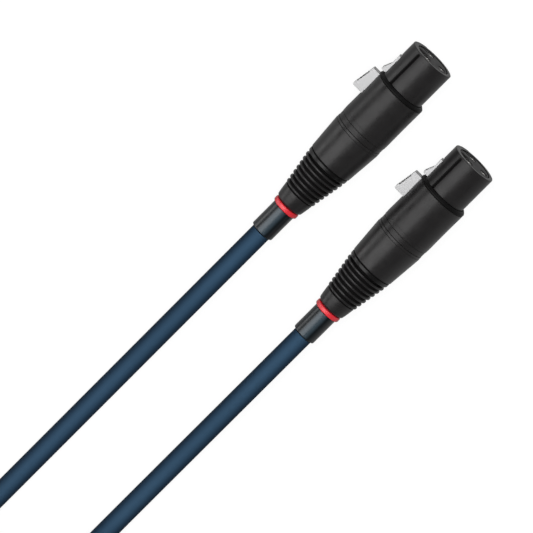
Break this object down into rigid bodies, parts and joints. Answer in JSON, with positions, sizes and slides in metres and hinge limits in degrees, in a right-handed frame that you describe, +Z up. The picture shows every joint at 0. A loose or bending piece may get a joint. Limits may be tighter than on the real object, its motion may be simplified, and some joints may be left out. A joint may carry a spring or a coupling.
{
  "type": "balanced microphone cable",
  "caption": "Microphone cable with a latching female connector at both ends. Each latch presses and springs back, and the spare cable is wound in a flat coil.",
  "frame": {"origin": "on the floor under the middle of the two connectors' bounding box, cord left out", "axes": "+X out of both connectors' mouths, +Y towards their latches, +Z up"},
  "size_m": [0.2987, 0.0849, 0.021],
  "materials": {
    "shell": "semi-gloss black over die-cast zinc",
    "insert": "satin black moulding",
    "contact": "silver-plated",
    "latch": "satin grey moulding",
    "latch_pin": "ground steel",
    "latch_spring": "spring steel strip",
    "collar": "satin black moulding",
    "bushing": "satin black moulding",
    "chuck": "off-white moulding",
    "boot": "matt black elastomer",
    "marker_ring": "satin red moulding",
    "sleeve": "glossy black heat-shrink",
    "cable": "satin navy PVC",
    "core_1": "clear-wrapped screen wire, pale",
    "core_2": "red core insulation",
    "core_3": "blue core insulation"
  },
  "bodies": {
    "cable": {"shell_a": "shell", "insert_a": "insert", "contact_1_a": "contact", "contact_2_a": "contact", "contact_3_a": "contact", "latch_pin_a": "latch_pin", "latch_spring_a": "latch_spring", "collar_a": "collar", "bushing_a": "bushing", "chuck_a": "chuck", "boot_a": "boot", "marker_ring_a": "marker_ring", "sleeve_a": "sleeve", "jacket_a": "cable", "core_1_a": "core_1", "core_2_a": "core_2", "core_3_a": "core_3", "shell_b": "shell", "insert_b": "insert", "contact_1_b": "contact", "contact_2_b": "contact", "contact_3_b": "contact", "latch_pin_b": "latch_pin", "latch_spring_b": "latch_spring", "collar_b": "collar", "bushing_b": "bushing", "chuck_b": "chuck", "boot_b": "boot", "marker_ring_b": "marker_ring", "sleeve_b": "sleeve", "jacket_b": "cable", "core_1_b": "core_1", "core_2_b": "core_2", "core_3_b": "core_3", "lead_a": "cable", "lead_b": "cable", "coil": "cable"},
    "latch_lever_a": {"latch_a": "latch"},
    "latch_lever_b": {"latch_b": "latch"}
  },
  "joints": [
    {"name": "latch_a_press", "type": "hinge", "parent": "cable", "child": "latch_lever_a", "pos_m": [0.0406, 0.0222, 0.0094], "axis": [0, 0, 1], "range_deg": [0, 8], "stiffness_Nm_per_rad": 0.05, "springref_deg": -20.05, "deforming": ["latch_spring_a"]},
    {"name": "latch_b_press", "type": "hinge", "parent": "cable", "child": "latch_lever_b", "pos_m": [0.0259, -0.0116, 0.0094], "axis": [0, 0, 1], "range_deg": [0, 8], "stiffness_Nm_per_rad": 0.05, "springref_deg": -20.05, "deforming": ["latch_spring_b"]}
  ]
}
